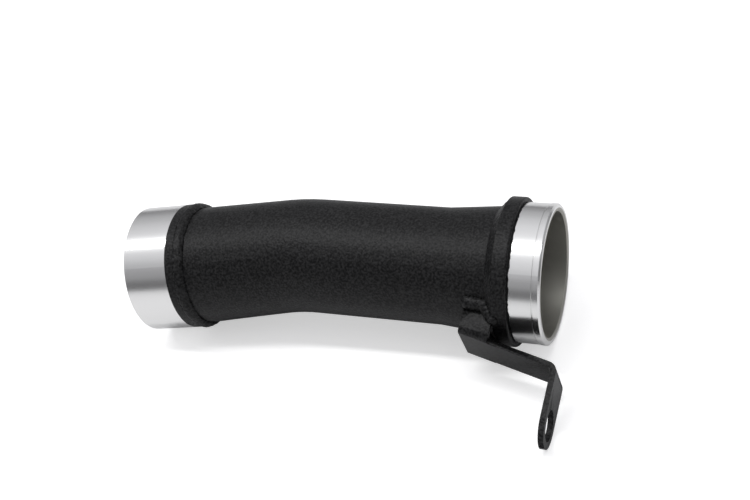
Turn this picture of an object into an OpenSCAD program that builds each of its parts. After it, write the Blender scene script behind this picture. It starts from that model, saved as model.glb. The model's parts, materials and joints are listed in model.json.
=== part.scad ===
// Intercooler pipe: a short aluminium charge pipe with one shallow bend, a plain collar at
// the inlet, a turned collar with a stop ridge at the outlet, and one folded strap bracket.
// The origin is on the outlet's axis, in the middle of the land where a hose seats, and
// the pipe runs from there towards -X. It lies as it comes to rest: on the inlet collar,
// the stop ridge and the bracket's leg.

/* [Tube] */
// Outside diameter of the tube
tube_od = 63.5; // [50:0.5:66]
// Wall of the tube
tube_wall = 2; // [1.2:0.1:3]
// Angle of the bend
bend_angle = 9.8; // [2:0.1:30]
// Centreline radius of the bends
bend_radius = 120; // [90:1:200]
// Tapered straight between the bend and the inlet's swelled end
inlet_straight = 45; // [25:0.5:120]
// Plain straight between the bend and the outlet's flare
outlet_straight = 73.5; // [40:0.5:200]
// Small bend that sets the inlet collar back
inlet_set_angle = 2; // [0.5:0.1:6]
// Outside diameter of the swelled end that fits the inlet collar
swell_od = 66; // [60:0.1:75]
// Length of the flare at the outlet
flare_length = 29; // [15:0.5:50]
// Outside diameter of the flared end that fits the outlet collar
flare_od = 68.6; // [60:0.1:75]

/* [Inlet collar] */
// Length of the inlet collar
inlet_length = 31; // [20:0.5:60]
// Wall of the inlet collar
inlet_wall = 2.6; // [1.5:0.1:5]
// Depth the tube reaches into the inlet collar
inlet_socket = 8; // [3:0.5:15]
// Edge break on the mouth of the inlet collar
inlet_chamfer = 0.6; // [0.2:0.1:0.7]

/* [Outlet collar] */
// Length of the outlet collar from its rim to its back face
outlet_length = 24.5; // [20:0.5:50]
// Wall of the outlet collar at its land
outlet_wall = 3.8; // [3:0.1:6]
// Depth of the shoulder that the tube's end seats against
shoulder = 0.9; // [0.5:0.1:1.5]
// Depth the tube reaches into the outlet collar
outlet_socket = 6; // [3:0.5:10]
// Height of the lip at the rim above the land
lip_height = 0.25; // [0.1:0.05:1]
// Width of the lip at the rim
lip_width = 3.4; // [2:0.1:6]
// Chamfer round the outside of the rim
rim_chamfer = 0.9; // [0.3:0.1:1.5]
// Chamfer round the mouth of the bore
mouth_chamfer = 0.8; // [0.3:0.1:1.5]
// Width of the fine groove behind the lip
groove_width = 1; // [0.5:0.1:2]
// Depth of the fine groove below the land
groove_depth = 0.4; // [0.2:0.1:1]
// Height of the stop ridge above the land
ridge_height = 2.6; // [1.5:0.1:6]
// Width of the stop ridge, measured to the back face
ridge_width = 7.7; // [5:0.1:15]
// Radius of the stop ridge's front edge
ridge_round = 1.2; // [0.3:0.1:1.5]

/* [Welds] */
// Height of the inlet weld's crown above the inlet collar
inlet_crown = 0.4; // [0.2:0.1:2]
// Reach of the inlet weld along the tube, from its crown
inlet_toe = 4.5; // [3:0.5:10]
// Distance of the inlet weld's crown from the inlet collar's back face
inlet_crown_out = 1; // [0:0.1:2]
// Reach of the weld behind the stop ridge, along the tube
outlet_leg = 5.2; // [3:0.1:6]
// Bare step left between that weld and the top of the ridge
weld_step = 0.4; // [0.2:0.1:1]
// Radius of the beads that hold the bracket
bead_radius = 3.2; // [2:0.1:5]
// Distance from one drop of that bead to the next
bead_pitch = 2.4; // [1.5:0.1:4]
// Radius that bead has run down to where it ends
bead_end_radius = 2.2; // [1.5:0.1:4]

/* [Bracket] */
// Width of the strap
strap_width = 23.5; // [20:0.1:36]
// Thickness of the strap
strap_thick = 2.9; // [2:0.1:4]
// Angle of the arm away from the pipe
arm_angle = 15; // [5:0.5:25]
// Angle of the fold between the arm and the leg
leg_fold = 77.5; // [60:0.5:90]
// Inside radius of that fold
leg_fold_radius = 2.5; // [1:0.1:4]
// How much the strap is drawn in on each face round that fold
fold_thinning = 0.02; // [0.01:0.01:0.1]
// Clear height under the arm's corner, above the outlet's land
corner_rise = 20.1; // [16:0.1:40]
// Distance of the arm's corner past the rim of the outlet
corner_past_rim = 8.95; // [4:0.05:30]
// Length of the arm, from its corner to its end
arm_length = 52.2; // [46:0.1:80]
// Length of the leg, from the corner to its hole
leg_length = 26; // [20:0.5:60]
// Diameter of the bolt hole in the leg
hole_d = 16; // [6:0.1:18]
// Angle of the bracket round the pipe, from the outside of the bend
bracket_clock = 151; // [90:1:180]
// Inside radius of the fold between the arm and the tab
tab_fold_radius = 0.8; // [0.4:0.1:3]
// Width of the tab at its foot
tab_width = 16.3; // [14:0.1:24]
// Width of the tab where it meets the tube
tab_top_width = 8.5; // [6:0.5:12]
// Height of the tab's outer edge, below its cut corner
tab_side = 7.2; // [6:0.1:14]

/* [Hidden] */
$fn = 96;
EPS = 1; // reach of a cutter past the face it cuts
FOLD_LAP = 0.2; // reach of the strap's flats into the fold
coat = [0.05, 0.05, 0.05];
bare = [0.8, 0.8, 0.8];

tube_r = tube_od / 2;
swell_r = swell_od / 2;
flare_r = flare_od / 2;
inlet_r = swell_r + inlet_wall;
outlet_bore_r = flare_r - shoulder;
land_r = outlet_bore_r + outlet_wall;
lip_r = land_r + lip_height;
ridge_r = land_r + ridge_height;
weld_end = outlet_length + outlet_leg;
plain_start = weld_end + flare_length;
swell_reach = inlet_crown_out + inlet_toe;

// The bead's section is a circle through the crown and the toe on the tube
crown_r = inlet_r + inlet_crown;
crown_rise = crown_r - swell_r;
crown_section_r = (inlet_toe * inlet_toe + crown_rise * crown_rise) / (2 * crown_rise);

corner_r = land_r + corner_rise;
tab_fold_outer = tab_fold_radius + strap_thick;
tab_face = strap_width / 2 + tab_fold_outer;

leg_fold_back = leg_fold_radius * tan(leg_fold / 2);
arm_flat = arm_length - leg_fold_back;
tab_foot_r = corner_r - arm_length * sin(arm_angle) - tab_fold_outer * cos(arm_angle);
tab_height = tab_foot_r - sqrt(pow(flare_r, 2) - pow(tab_face, 2));

// A step along the pipe and towards its axis, seen in line with the arm
function square_to_pipe(along, inward) = [
    along * cos(arm_angle) - inward * sin(arm_angle),
    -along * sin(arm_angle) - inward * cos(arm_angle)
];

// The bead's centreline lies on the tube's skin, just outside the tab
bead_side = -tab_face - bead_radius * 0.7;
bead_r = sqrt(pow(flare_r, 2) - pow(bead_side, 2));
tab_back = corner_past_rim - arm_length * cos(arm_angle) + tab_fold_outer * sin(arm_angle);
tab_front = tab_back + tab_width * cos(arm_angle);
tab_corner_r = tab_foot_r + tab_width * sin(arm_angle) - tab_side;
bead_start = [tab_back + bead_radius * 0.8, bead_r - bead_radius * 0.3, bead_side];
bead_turn = [tab_back + tab_top_width + bead_radius * 0.9, bead_r, bead_side];
bead_end = [tab_front + bead_radius * 0.1, tab_corner_r - bead_radius * 0.3, -tab_face];

// How it lies. The leg's round end and the ridge give the roll and the inlet gives the
// pitch. Each shifts the other a little, so they are worked out in turn.
land_middle = (lip_width + groove_width + outlet_length - ridge_width) / 2;
ridge_front = outlet_length - ridge_width + ridge_round;
leg_slope = arm_angle + leg_fold;
leg_reach = corner_r + leg_length * sin(leg_slope) - strap_thick * cos(leg_slope);
leg_ahead = corner_past_rim + leg_length * cos(leg_slope) + strap_thick * sin(leg_slope);
set_angle = bend_angle - inlet_set_angle;
inlet_end = swell_reach + inlet_length - inlet_chamfer;
inlet_drop = bend_radius * (1 + cos(set_angle) - 2 * cos(bend_angle))
    + inlet_straight * sin(bend_angle) + inlet_end * sin(set_angle);
inlet_run = plain_start + outlet_straight + bend_radius * (2 * sin(bend_angle) - sin(set_angle))
    + inlet_straight * cos(bend_angle) + inlet_end * cos(set_angle);

function roll_at(pitch) = 180 - bracket_clock
    + asin((ridge_r - strap_width / 2 - (leg_ahead + ridge_front) * tan(pitch)) / leg_reach);
function pitch_at(roll, pitch) = atan(
    (inlet_drop * sin(roll) + inlet_r * cos(set_angle * sin(roll) - pitch) - ridge_r)
    / (inlet_run - ridge_front)
);
first_pitch = pitch_at(roll_at(0), 0);
rest_pitch = pitch_at(roll_at(first_pitch), first_pitch);
rest_roll = roll_at(rest_pitch);

module laid() {
    rotate([0, rest_pitch, 0])
        rotate([rest_roll, 0, 0])
            translate([land_middle, 0, 0])
                children();
}

// Z runs into the pipe from the outlet's rim, Y points to the outside of the bend
module from_rim() {
    rotate([0, -90, 0]) children();
}

// Carries its children to the far end of an arc that turns towards -Y
module past_arc(angle) {
    translate([0, -bend_radius, 0])
        rotate([angle, 0, 0])
            translate([0, bend_radius, 0])
                children();
}

// A straight stretch of tube, as wide as r0 at its start and r1 at its end
module stretch(r0, r1, h) {
    difference() {
        cylinder(r1 = r0, r2 = r1, h = h);
        cylinder(r1 = r0 - tube_wall, r2 = r1 - tube_wall, h = h);
    }
}

// A bent stretch of tube that turns towards -Y
module bent_stretch(angle, r) {
    translate([0, -bend_radius, 0])
        rotate([90, 0, 90])
            rotate_extrude(angle = angle)
                translate([bend_radius, 0])
                    difference() {
                        circle(r);
                        circle(r - tube_wall);
                    }
}

module past_bend() {
    from_rim()
        translate([0, 0, plain_start + outlet_straight])
            past_arc(bend_angle)
                children();
}

// Z runs out of the inlet from the back face of the inlet collar
module from_inlet_collar() {
    past_bend()
        translate([0, 0, inlet_straight])
            mirror([0, 1, 0])
                past_arc(inlet_set_angle)
                    mirror([0, 1, 0])
                        translate([0, 0, swell_reach])
                            children();
}

module tube() {
    color(coat) {
        from_rim() {
            translate([0, 0, outlet_length - outlet_socket])
                stretch(flare_r, flare_r, outlet_socket + outlet_leg);
            translate([0, 0, weld_end])
                stretch(flare_r, tube_r, flare_length);
            translate([0, 0, plain_start])
                stretch(tube_r, tube_r, outlet_straight);
            translate([0, 0, plain_start + outlet_straight])
                bent_stretch(bend_angle, tube_r);
        }
        past_bend() {
            stretch(tube_r, swell_r, inlet_straight);
            translate([0, 0, inlet_straight])
                mirror([0, 1, 0])
                    bent_stretch(inlet_set_angle, swell_r);
        }
        from_inlet_collar()
            translate([0, 0, -swell_reach])
                stretch(swell_r, swell_r, swell_reach + inlet_socket);
    }
}

module inlet_collar() {
    color(bare)
        from_inlet_collar()
            rotate_extrude()
                polygon([
                    [swell_r, 0],
                    [inlet_r, 0],
                    [inlet_r, inlet_length - inlet_chamfer],
                    [inlet_r - inlet_chamfer, inlet_length],
                    [swell_r + inlet_chamfer, inlet_length],
                    [swell_r, inlet_length - inlet_chamfer]
                ]);
}

// The stop ridge's half section, with its front edge rounded
module ridge_section() {
    ridge_start = outlet_length - ridge_width;
    translate([flare_r, ridge_start + ridge_round])
        square([ridge_r - flare_r, ridge_width - ridge_round]);
    translate([flare_r, ridge_start])
        square([ridge_r - ridge_round - flare_r, ridge_width]);
    translate([ridge_r - ridge_round, ridge_start + ridge_round])
        circle(ridge_round);
}

module outlet_collar() {
    groove_end = lip_width + groove_width;
    socket_start = outlet_length - outlet_socket;
    color(bare)
        from_rim()
            rotate_extrude() {
                polygon([
                    [outlet_bore_r + mouth_chamfer, 0],
                    [lip_r - rim_chamfer, 0],
                    [lip_r, rim_chamfer],
                    [lip_r, lip_width],
                    [land_r - groove_depth, lip_width + groove_width / 4],
                    [land_r - groove_depth, groove_end - groove_width / 4],
                    [land_r, groove_end],
                    [land_r, outlet_length],
                    [flare_r, outlet_length],
                    [flare_r, socket_start],
                    [outlet_bore_r, socket_start],
                    [outlet_bore_r, mouth_chamfer]
                ]);
                ridge_section();
            }
}

// It stops at the collar's back face, so that a hose fits over the whole collar
module inlet_weld() {
    color(coat)
        from_inlet_collar()
            rotate_extrude()
                difference() {
                    translate([crown_r - crown_section_r, -inlet_crown_out])
                        circle(crown_section_r);
                    translate([-crown_section_r, -crown_section_r * 2])
                        square([crown_section_r + swell_r, crown_section_r * 4]);
                    square([crown_r + EPS, crown_section_r * 2]);
                }
}

// It fills the corner between the ridge's back face and the tube
module outlet_weld() {
    color(coat)
        from_rim()
            rotate_extrude()
                polygon([
                    [flare_r, outlet_length],
                    [ridge_r - weld_step, outlet_length],
                    [flare_r, weld_end]
                ]);
}

// X runs out of the outlet, Y away from the pipe's axis, and Z across the strap
module round_pipe() {
    rotate([bracket_clock, 0, 0]) children();
}

// The outside of the outlet's end, which the bracket and its weld are cut to fit
module outlet_end() {
    from_rim()
        rotate_extrude()
            polygon([
                [0, 0],
                [ridge_r, 0],
                [ridge_r, outlet_length],
                [ridge_r - weld_step, outlet_length],
                [flare_r, weld_end],
                [tube_r, plain_start],
                [0, plain_start]
            ]);
}

// In line with the arm, at the centre of the fold between arm and leg
module from_leg_fold() {
    round_pipe()
        translate([corner_past_rim, corner_r, 0])
            rotate([0, 0, arm_angle])
                translate([-leg_fold_back, leg_fold_radius, 0])
                    children();
}

// A flat stretch of the strap. It starts just inside the fold, which is a little thinner.
module strap_plate(length) {
    translate([-FOLD_LAP, -leg_fold_radius - strap_thick, -strap_width / 2])
        cube([FOLD_LAP + length, strap_thick, strap_width]);
}

module arm() {
    from_leg_fold()
        mirror([1, 0, 0])
            strap_plate(arm_flat);
}

module leg_corner() {
    from_leg_fold()
        translate([0, 0, -strap_width / 2])
            rotate([0, 0, -90])
                rotate_extrude(angle = leg_fold)
                    translate([leg_fold_radius + fold_thinning, 0])
                        square([strap_thick - 2 * fold_thinning, strap_width]);
}

// Its end is a half circle about the bolt hole
module leg() {
    leg_flat = leg_length - leg_fold_back;
    from_leg_fold()
        rotate([0, 0, leg_fold])
            difference() {
                union() {
                    strap_plate(leg_flat);
                    translate([leg_flat, -leg_fold_radius, 0])
                        rotate([90, 0, 0])
                            cylinder(d = strap_width, h = strap_thick);
                }
                translate([leg_flat, EPS - leg_fold_radius, 0])
                    rotate([90, 0, 0])
                        cylinder(d = hole_d, h = strap_thick + 2 * EPS);
            }
}

// The far tab and its weld are the near ones mirrored across the strap
module on_side(far) {
    if (far)
        mirror([0, 0, 1])
            children();
    else
        children();
}

// In line with the arm, at the centre of the quarter fold along one of its edges
module from_tab_fold(far) {
    from_leg_fold()
        on_side(far)
            translate([-arm_flat, -leg_fold_radius - tab_fold_outer, -strap_width / 2])
                children();
}

module tab_fold(far) {
    from_tab_fold(far)
        rotate([90, 0, 90])
            linear_extrude(tab_width)
                intersection() {
                    difference() {
                        circle(tab_fold_outer);
                        circle(tab_fold_radius);
                    }
                    translate([0, -tab_fold_outer])
                        square(tab_fold_outer);
                }
}

// A flat plate whose sides stand square to the pipe and whose front corner is cut off,
// to clear the weld behind the stop ridge
module tab(far) {
    from_tab_fold(far)
        translate([0, 0, -tab_fold_outer])
            linear_extrude(strap_thick)
                polygon([
                    [0, 0],
                    square_to_pipe(0, tab_foot_r),
                    square_to_pipe(tab_top_width, tab_foot_r),
                    square_to_pipe(tab_top_width, tab_height),
                    [tab_width, 0] + square_to_pipe(0, tab_side),
                    [tab_width, 0]
                ]);
}

module bracket() {
    color(coat)
        difference() {
            union() {
                arm();
                leg_corner();
                leg();
                for (far = [false, true]) {
                    tab_fold(far);
                    tab(far);
                }
            }
            outlet_end();
        }
}

// A run of overlapping drops, as a weld bead is laid
module bead(from, to, from_radius, to_radius) {
    drops = ceil(norm(to - from) / bead_pitch);
    for (i = [0:drops])
        translate(from + (to - from) * i / drops)
            sphere(from_radius + (to_radius - from_radius) * i / drops);
}

// One bead along the tab's top, then down beside its cut corner, where it runs out
module bracket_weld(far = false) {
    color(coat)
        difference() {
            round_pipe()
                on_side(far) {
                    bead(bead_start, bead_turn, bead_radius, bead_radius);
                    bead(bead_turn, bead_end, bead_radius, bead_end_radius);
                }
            outlet_end();
            tab(far);
        }
}

module bracket_weld_far() {
    bracket_weld(far = true);
}

laid() tube();
laid() inlet_collar();
laid() outlet_collar();
laid() inlet_weld();
laid() outlet_weld();
laid() bracket();
laid() bracket_weld();
laid() bracket_weld_far();
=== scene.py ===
import bpy
import json
import math
from mathutils import Euler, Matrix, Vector


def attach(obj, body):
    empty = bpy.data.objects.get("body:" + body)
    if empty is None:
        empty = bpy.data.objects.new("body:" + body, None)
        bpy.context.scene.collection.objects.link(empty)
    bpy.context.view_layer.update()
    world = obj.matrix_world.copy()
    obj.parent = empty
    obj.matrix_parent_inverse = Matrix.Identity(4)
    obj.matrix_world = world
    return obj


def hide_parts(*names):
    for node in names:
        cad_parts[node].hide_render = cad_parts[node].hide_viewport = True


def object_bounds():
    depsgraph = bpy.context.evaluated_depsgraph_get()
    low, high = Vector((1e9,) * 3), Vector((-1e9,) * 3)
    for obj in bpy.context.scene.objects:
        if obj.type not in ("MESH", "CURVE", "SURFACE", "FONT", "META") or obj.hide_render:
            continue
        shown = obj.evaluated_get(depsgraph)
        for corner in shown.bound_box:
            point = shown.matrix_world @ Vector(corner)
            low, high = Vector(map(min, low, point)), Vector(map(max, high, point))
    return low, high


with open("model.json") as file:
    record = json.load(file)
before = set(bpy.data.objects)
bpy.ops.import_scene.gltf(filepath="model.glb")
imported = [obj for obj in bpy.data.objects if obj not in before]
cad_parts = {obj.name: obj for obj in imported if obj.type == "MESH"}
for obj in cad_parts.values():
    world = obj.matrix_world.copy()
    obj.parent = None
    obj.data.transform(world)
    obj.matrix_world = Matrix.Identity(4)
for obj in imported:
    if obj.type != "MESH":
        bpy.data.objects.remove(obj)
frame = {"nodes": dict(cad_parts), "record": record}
cad_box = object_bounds()
MM = 0.001

# The view is the photograph's: a long lens above and in front of the pipe, rolled a
# little, so that the outlet's mouth and the bracket's leg come towards the eye.
VIEW_PLACE = Vector((155.39, -460.94, 444.63)) * MM
VIEW_TURN = Euler([math.radians(a) for a in (49.150, 11.969, 17.683)])
PHOTO_W = 750
FOCAL_PIXELS = 1241.57
SENSOR = 36.0
NEAREST_SEEN = 0.01
FARTHEST_SEEN = 50
bpy.ops.object.camera_add(location=VIEW_PLACE, rotation=VIEW_TURN)
camera = bpy.context.object
camera.name = "photo_camera"
camera.data.sensor_width = SENSOR
camera.data.lens = FOCAL_PIXELS / PHOTO_W * SENSOR
camera.data.clip_start = NEAREST_SEEN
camera.data.clip_end = FARTHEST_SEEN
bpy.context.scene.camera = camera
bpy.context.scene.view_settings.view_transform = "Standard"

# The table is a sheet of white board that fills the view. Its lit face shows as plain
# white, and only the pipe's soft shadow is darker. Its light comes back up under the pipe.
TABLE_SIZE = 6.0
TABLE_WHITE = 0.8
TABLE_ROUGHNESS = 0.9
TABLE_LIFT = 0.5
table_z = cad_box[0].z
bpy.ops.object.select_all(action="DESELECT")
bpy.ops.mesh.primitive_plane_add(size=TABLE_SIZE, location=(0, 0, table_z))
table = bpy.context.object
table.name = "white_table"
board = bpy.data.materials.new("white_board")
board.use_nodes = True
nodes, links = board.node_tree.nodes, board.node_tree.links
surface = nodes["Principled BSDF"]
surface.inputs["Base Color"].default_value = (TABLE_WHITE, TABLE_WHITE, TABLE_WHITE, 1)
surface.inputs["Roughness"].default_value = TABLE_ROUGHNESS
ray = nodes.new("ShaderNodeLightPath")
lift = nodes.new("ShaderNodeMath")
lift.operation = "MULTIPLY"
lift.inputs[1].default_value = TABLE_LIFT
links.new(ray.outputs["Is Camera Ray"], lift.inputs[0])
surface.inputs["Emission Color"].default_value = (1, 1, 1, 1)
links.new(lift.outputs["Value"], surface.inputs["Emission Strength"])
table.data.materials.append(board)

# The room is dim at the height of the table and bright overhead, and lighter behind the
# pipe than behind the eye. Seen straight on it is the same plain white as the table.
ROOM_BLUE = 1.03
FRONT_ROOM = (
    (0.0, 0.15), (0.15, 0.14), (0.36, 0.33), (0.47, 0.32), (0.58, 0.48), (0.76, 0.69), (1.0, 0.80)
)
BACK_ROOM = (
    (0.0, 0.14), (0.10, 0.27), (0.46, 0.47), (0.70, 0.64), (0.85, 0.75), (1.0, 0.80)
)
FRONT_ENDS = -0.15
BACK_BEGINS = 0.25
room = bpy.data.worlds.new("studio_room")
bpy.context.scene.world = room
room.use_nodes = True
nodes, links = room.node_tree.nodes, room.node_tree.links
direction = nodes.new("ShaderNodeTexCoord")
parts = nodes.new("ShaderNodeSeparateXYZ")
links.new(direction.outputs["Generated"], parts.inputs["Vector"])


def room_ramp(stops):
    """Greys of the room by height: the sine of the elevation, then the grey there."""
    ramp = nodes.new("ShaderNodeValToRGB")
    ramp.color_ramp.interpolation = "EASE"
    for end, (height, grey) in zip(ramp.color_ramp.elements, (stops[0], stops[-1])):
        end.position = height
        end.color = (grey, grey, grey * ROOM_BLUE, 1)
    for height, grey in stops[1:-1]:
        stop = ramp.color_ramp.elements.new(height)
        stop.color = (grey, grey, grey * ROOM_BLUE, 1)
    links.new(parts.outputs["Z"], ramp.inputs["Fac"])
    return ramp.outputs["Color"]


depth = nodes.new("ShaderNodeMapRange")
depth.interpolation_type = "SMOOTHSTEP"
depth.inputs["From Min"].default_value = FRONT_ENDS
depth.inputs["From Max"].default_value = BACK_BEGINS
links.new(parts.outputs["Y"], depth.inputs["Value"])
wall = nodes.new("ShaderNodeMix")
wall.data_type = "RGBA"
links.new(depth.outputs["Result"], wall.inputs[0])
links.new(room_ramp(FRONT_ROOM), wall.inputs[6])
links.new(room_ramp(BACK_ROOM), wall.inputs[7])
dim = nodes["Background"]
links.new(wall.outputs[2], dim.inputs["Color"])
white = nodes.new("ShaderNodeBackground")
white.inputs["Color"].default_value = (1, 1, 1, 1)
ray = nodes.new("ShaderNodeLightPath")
pick = nodes.new("ShaderNodeMixShader")
links.new(ray.outputs["Is Camera Ray"], pick.inputs["Fac"])
links.new(dim.outputs["Background"], pick.inputs[1])
links.new(white.outputs["Background"], pick.inputs[2])
links.new(pick.outputs["Shader"], nodes["World Output"].inputs["Surface"])

# One long softbox hangs over the pipe, and gives the narrow bright band along its top.
# It is a diffused strip light, turned so that its length lies along the pipe.
SOFTBOX_PLACE = Vector((-340, -100, 900)) * MM
SOFTBOX_AIM = Vector((-340, 0, 0)) * MM
SOFTBOX_LENGTH = 1.3
SOFTBOX_WIDTH = 0.09
SOFTBOX_WATTS = 5.2
bpy.ops.object.light_add(type="AREA", location=SOFTBOX_PLACE)
softbox = bpy.context.object
softbox.name = "softbox"
softbox.data.shape = "RECTANGLE"
softbox.data.size = SOFTBOX_LENGTH
softbox.data.size_y = SOFTBOX_WIDTH
softbox.data.energy = SOFTBOX_WATTS
softbox.rotation_euler = (SOFTBOX_AIM - SOFTBOX_PLACE).to_track_quat("-Z", "Y").to_euler()

# The tube is one length of bent, swelled and flared aluminium. Outside it has a black
# powder coat that dries in fine wrinkles, and its bore is the bare drawn metal.
# The coat's colour goes from a painted shade in the wrinkles' valleys to a painted highlight on
# their ridges, driven by the same noise that raises them.
COAT_VALLEY_PAINTED_SHADE = (0.001, 0.001, 0.0012, 1)
COAT_RIDGE_PAINTED_HIGHLIGHT = (0.021, 0.021, 0.0215, 1)
COAT_ROUGHNESS = 0.44
COAT_GLOSS = 0.19
WRINKLE_SCALE = 900
WRINKLE_DETAIL = 2
WRINKLE_RELIEF = 0.6
WRINKLE_DEPTH = 0.4 * MM
PAINTED_SHADE_BELOW = 0.38
PAINTED_HIGHLIGHT_ABOVE = 0.66
BORE_GREY = (0.43, 0.425, 0.39)
BORE_ROUGHNESS = 0.48
DRAWN_PITCH = 0.35 * MM
DRAWN_DEPTH = 0.03 * MM
LINE_DETAIL = 2


def wrinkle_coat(name):
    """Black powder coat, as a new material, with painted shade in its wrinkles' valleys and
    painted highlights on their ridges.
    """
    coat = bpy.data.materials.new(name)
    coat.use_nodes = True
    nodes, links = coat.node_tree.nodes, coat.node_tree.links
    surface = nodes["Principled BSDF"]
    surface.inputs["Roughness"].default_value = COAT_ROUGHNESS
    surface.inputs["Specular IOR Level"].default_value = COAT_GLOSS
    where = nodes.new("ShaderNodeTexCoord")
    where.name = "where"
    wrinkle = nodes.new("ShaderNodeTexNoise")
    wrinkle.inputs["Scale"].default_value = WRINKLE_SCALE
    wrinkle.inputs["Detail"].default_value = WRINKLE_DETAIL
    links.new(where.outputs["Object"], wrinkle.inputs["Vector"])
    relief = nodes.new("ShaderNodeBump")
    relief.name = "wrinkles"
    relief.inputs["Strength"].default_value = WRINKLE_RELIEF
    relief.inputs["Distance"].default_value = WRINKLE_DEPTH
    links.new(wrinkle.outputs["Fac"], relief.inputs["Height"])
    links.new(relief.outputs["Normal"], surface.inputs["Normal"])
    # Painted shade and highlight: the wrinkle noise darkens the base colour in its valleys and
    # lightens it on its ridges.
    painted_wrinkle_light = nodes.new("ShaderNodeValToRGB")
    painted_wrinkle_light.name = "painted_wrinkle_light"
    valley, ridge = painted_wrinkle_light.color_ramp.elements
    valley.position = PAINTED_SHADE_BELOW
    valley.color = COAT_VALLEY_PAINTED_SHADE
    ridge.position = PAINTED_HIGHLIGHT_ABOVE
    ridge.color = COAT_RIDGE_PAINTED_HIGHLIGHT
    links.new(wrinkle.outputs["Fac"], painted_wrinkle_light.inputs["Fac"])
    links.new(painted_wrinkle_light.outputs["Color"], surface.inputs["Base Color"])
    return coat


def leave_bare(coat, bare, grey, roughness):
    """Metal shows through the coat where the socket called bare is 1. Returns the sockets
    for the metal's colour and roughness."""
    nodes, links = coat.node_tree.nodes, coat.node_tree.links
    surface = nodes["Principled BSDF"]
    # Where the coat lies, the colour keeps its painted wrinkle shade and highlights; where the
    # metal is bare, it is the metal's grey.
    colour = nodes.new("ShaderNodeMix")
    colour.data_type = "RGBA"
    links.new(bare, colour.inputs[0])
    links.new(nodes["painted_wrinkle_light"].outputs["Color"], colour.inputs[6])
    colour.inputs[7].default_value = (*grey, 1)
    links.new(colour.outputs[2], surface.inputs["Base Color"])
    gloss = nodes.new("ShaderNodeMix")
    links.new(bare, gloss.inputs[0])
    gloss.inputs[2].default_value = COAT_ROUGHNESS
    gloss.inputs[3].default_value = roughness
    links.new(gloss.outputs[0], surface.inputs["Roughness"])
    links.new(bare, surface.inputs["Metallic"])
    smooth = nodes.new("ShaderNodeMath")
    smooth.operation = "MULTIPLY_ADD"
    smooth.inputs[1].default_value = -WRINKLE_RELIEF
    smooth.inputs[2].default_value = WRINKLE_RELIEF
    links.new(bare, smooth.inputs[0])
    links.new(smooth.outputs["Value"], nodes["wrinkles"].inputs["Strength"])
    return colour.inputs[7], gloss.inputs[3]


def place_along(coat, axis):
    """How far along an axis through the frame's origin each point of the piece lies."""
    nodes, links = coat.node_tree.nodes, coat.node_tree.links
    place = nodes.new("ShaderNodeVectorMath")
    place.operation = "DOT_PRODUCT"
    place.inputs[1].default_value = axis
    links.new(nodes["where"].outputs["Object"], place.inputs[0])
    return place.outputs["Value"]


def across_pipe(coat):
    """Each point of the piece, seen along the pipe: its place without the part along X."""
    nodes, links = coat.node_tree.nodes, coat.node_tree.links
    across = nodes.new("ShaderNodeVectorMath")
    across.operation = "MULTIPLY"
    across.inputs[1].default_value = (0, 1, 1)
    links.new(nodes["where"].outputs["Object"], across.inputs[0])
    return across.outputs["Vector"]


def tool_lines(coat, axis, bare, pitch, depth):
    """Fine lines left round a turned or drawn surface, spaced along its axis."""
    nodes, links = coat.node_tree.nodes, coat.node_tree.links
    line = nodes.new("ShaderNodeTexNoise")
    line.noise_dimensions = "1D"
    line.inputs["Scale"].default_value = 1 / pitch
    line.inputs["Detail"].default_value = LINE_DETAIL
    links.new(place_along(coat, axis), line.inputs["W"])
    cut = nodes.new("ShaderNodeBump")
    cut.inputs["Distance"].default_value = depth
    links.new(bare, cut.inputs["Strength"])
    links.new(line.outputs["Fac"], cut.inputs["Height"])
    links.new(nodes["wrinkles"].outputs["Normal"], cut.inputs["Normal"])
    links.new(cut.outputs["Normal"], nodes["Principled BSDF"].inputs["Normal"])


mounts = {mount["name"]: mount for mount in frame["record"]["mounts"]}
outlet_axis = Vector(mounts["outlet_seat"]["axis"])
tube = frame["nodes"]["tube"]
tube_coat = wrinkle_coat("coated_tube_bare_bore")
nodes, links = tube_coat.node_tree.nodes, tube_coat.node_tree.links
facing = nodes.new("ShaderNodeVectorMath")
facing.operation = "DOT_PRODUCT"
links.new(across_pipe(tube_coat), facing.inputs[0])
links.new(nodes["where"].outputs["Normal"], facing.inputs[1])
inward = nodes.new("ShaderNodeMath")
inward.operation = "LESS_THAN"
inward.inputs[1].default_value = 0
links.new(facing.outputs["Value"], inward.inputs[0])
leave_bare(tube_coat, inward.outputs["Value"], BORE_GREY, BORE_ROUGHNESS)
tool_lines(tube_coat, outlet_axis, inward.outputs["Value"], DRAWN_PITCH, DRAWN_DEPTH)
tube.data.materials.clear()
tube.data.materials.append(tube_coat)

# The outlet's end is turned from thick aluminium tube. Its lip, groove, land and bore are
# bare, and the coat begins at the foot of the stop ridge, where masking tape tore it.
METAL_GREY = (0.87, 0.87, 0.865)
METAL_ROUGHNESS = 0.2
TURNED_PITCH = 0.25 * MM
TURNED_DEPTH = 0.012 * MM
RIDGE_FOOT = -6.2 * MM
TORN_REACH = 1.9 * MM
TORN_SCALE = 330
TORN_DETAIL = 3
BORE_WITHIN = 35.0 * MM
outlet_collar = frame["nodes"]["outlet_collar"]
outlet_coat = wrinkle_coat("coated_ridge_bare_land")
nodes, links = outlet_coat.node_tree.nodes, outlet_coat.node_tree.links
torn = nodes.new("ShaderNodeTexNoise")
torn.inputs["Scale"].default_value = TORN_SCALE
torn.inputs["Detail"].default_value = TORN_DETAIL
links.new(nodes["where"].outputs["Object"], torn.inputs["Vector"])
edge = nodes.new("ShaderNodeMath")
edge.operation = "MULTIPLY_ADD"
edge.inputs[1].default_value = TORN_REACH
edge.inputs[2].default_value = RIDGE_FOOT
links.new(torn.outputs["Fac"], edge.inputs[0])
ahead = nodes.new("ShaderNodeMath")
ahead.operation = "GREATER_THAN"
links.new(place_along(outlet_coat, outlet_axis), ahead.inputs[0])
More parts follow.
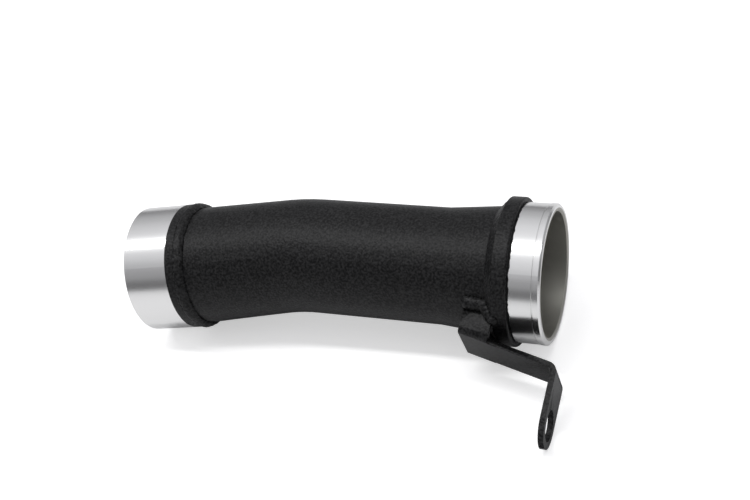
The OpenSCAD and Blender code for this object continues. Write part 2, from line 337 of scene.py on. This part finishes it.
links.new(edge.outputs["Value"], ahead.inputs[1])
radius = nodes.new("ShaderNodeVectorMath")
radius.operation = "LENGTH"
links.new(across_pipe(outlet_coat), radius.inputs[0])
bore = nodes.new("ShaderNodeMath")
bore.operation = "LESS_THAN"
bore.inputs[1].default_value = BORE_WITHIN
links.new(radius.outputs["Value"], bore.inputs[0])
bare = nodes.new("ShaderNodeMath")
bare.operation = "MAXIMUM"
links.new(ahead.outputs["Value"], bare.inputs[0])
links.new(bore.outputs["Value"], bare.inputs[1])
metal_colour, metal_gloss = leave_bare(
    outlet_coat, bare.outputs["Value"], METAL_GREY, METAL_ROUGHNESS
)
bored = nodes.new("ShaderNodeMix")
links.new(bore.outputs["Value"], bored.inputs[0])
bored.inputs[2].default_value = METAL_ROUGHNESS
bored.inputs[3].default_value = BORE_ROUGHNESS
links.new(bored.outputs[0], metal_gloss)
dulled = nodes.new("ShaderNodeMix")
dulled.data_type = "RGBA"
links.new(bore.outputs["Value"], dulled.inputs[0])
dulled.inputs[6].default_value = (*METAL_GREY, 1)
dulled.inputs[7].default_value = (*BORE_GREY, 1)
links.new(dulled.outputs[2], metal_colour)
tool_lines(outlet_coat, outlet_axis, bare.outputs["Value"], TURNED_PITCH, TURNED_DEPTH)
outlet_collar.data.materials.clear()
outlet_collar.data.materials.append(outlet_coat)

# The inlet's end is a plain turned collar. The coat covers the weld and the collar's back,
# and stops at a clean line where the collar was masked.
INLET_LENGTH = 31.0 * MM
SEAT_FROM_BACK = 15.2 * MM
BARE_LENGTH = 26.1 * MM
inlet_axis = Vector(mounts["inlet_seat"]["axis"])
inlet_seat = Vector(mounts["inlet_seat"]["pos_m"])
inlet_mouth = inlet_seat.dot(inlet_axis) + INLET_LENGTH - SEAT_FROM_BACK
inlet_collar = frame["nodes"]["inlet_collar"]
inlet_coat = wrinkle_coat("coated_back_bare_collar")
nodes, links = inlet_coat.node_tree.nodes, inlet_coat.node_tree.links
bare = nodes.new("ShaderNodeMath")
bare.operation = "GREATER_THAN"
bare.inputs[1].default_value = inlet_mouth - BARE_LENGTH
links.new(place_along(inlet_coat, inlet_axis), bare.inputs[0])
leave_bare(inlet_coat, bare.outputs["Value"], METAL_GREY, METAL_ROUGHNESS)
tool_lines(inlet_coat, inlet_axis, bare.outputs["Value"], TURNED_PITCH, TURNED_DEPTH)
inlet_collar.data.materials.clear()
inlet_collar.data.materials.append(inlet_coat)

# Weld beads join the tube to its two ends and the tabs of the bracket to the tube. Each is
# a copy of its CAD solid, closed up, made lumpy like laid metal, and under the same coat.
LUMP_SIZE = 2.6 * MM
LUMP_HEIGHT = 0.55 * MM
RING_GRAIN = 0.5 * MM
RING_MIDDLE = 0.55
BEAD_GRAIN = 0.3 * MM
BEAD_MIDDLE = -0.6
SAME_POINT = 0.005 * MM


def merged_copy(name, new_name):
    """A copy of a CAD node with its loose triangles joined, left in edit mode."""
    bpy.ops.object.select_all(action="DESELECT")
    piece = frame["nodes"][name].copy()
    piece.data = piece.data.copy()
    piece.name = new_name
    bpy.context.collection.objects.link(piece)
    bpy.context.view_layer.objects.active = piece
    piece.select_set(True)
    bpy.ops.object.mode_set(mode="EDIT")
    bpy.ops.mesh.select_all(action="SELECT")
    bpy.ops.mesh.remove_doubles(threshold=SAME_POINT)
    return piece


weld_coat = wrinkle_coat("coated_weld")
lumps = bpy.data.textures.new("laid_metal", "CLOUDS")
lumps.noise_scale = LUMP_SIZE
lumps.noise_depth = 1
welds = (
    ("inlet_weld", RING_GRAIN, RING_MIDDLE),
    ("outlet_weld", RING_GRAIN, RING_MIDDLE),
    ("bracket_weld", BEAD_GRAIN, BEAD_MIDDLE),
    ("bracket_weld_far", BEAD_GRAIN, BEAD_MIDDLE),
)
for name, grain, middle in welds:
    weld = merged_copy(name, name + "_laid")
    bpy.ops.object.mode_set(mode="OBJECT")
    closed = weld.modifiers.new("closed", "REMESH")
    closed.mode = "VOXEL"
    closed.voxel_size = grain
    bpy.ops.object.modifier_apply(modifier="closed")
    laid = weld.modifiers.new("laid", "DISPLACE")
    laid.texture = lumps
    laid.texture_coords = "LOCAL"
    laid.strength = LUMP_HEIGHT
    laid.mid_level = middle
    bpy.ops.object.modifier_apply(modifier="laid")
    bpy.ops.object.shade_smooth()
    weld.data.materials.clear()
    weld.data.materials.append(weld_coat)
    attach(weld, "root")
    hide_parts(name)

# The bracket is one strap of aluminium plate, cut, drilled and folded, with the burrs
# taken off its edges. This copy has those edges broken, and stands for the CAD solid.
EDGE_BREAK = 0.4 * MM
EDGE_SEGMENTS = 2
FLAT_WITHIN = math.radians(1)
EDGE_OVER = math.radians(40)
SMOOTH_UNDER = math.radians(30)
bracket = merged_copy("bracket", "bracket_strap")
bpy.ops.mesh.dissolve_limited(angle_limit=FLAT_WITHIN)
bpy.ops.object.mode_set(mode="OBJECT")
broken = bracket.modifiers.new("broken_edges", "BEVEL")
broken.width = EDGE_BREAK
broken.segments = EDGE_SEGMENTS
broken.limit_method = "ANGLE"
broken.angle_limit = EDGE_OVER
bpy.ops.object.modifier_apply(modifier="broken_edges")
bpy.ops.object.shade_smooth_by_angle(angle=SMOOTH_UNDER)
strap_coat = wrinkle_coat("coated_strap")
bracket.data.materials.clear()
bracket.data.materials.append(strap_coat)
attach(bracket, "root")
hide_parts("bracket")
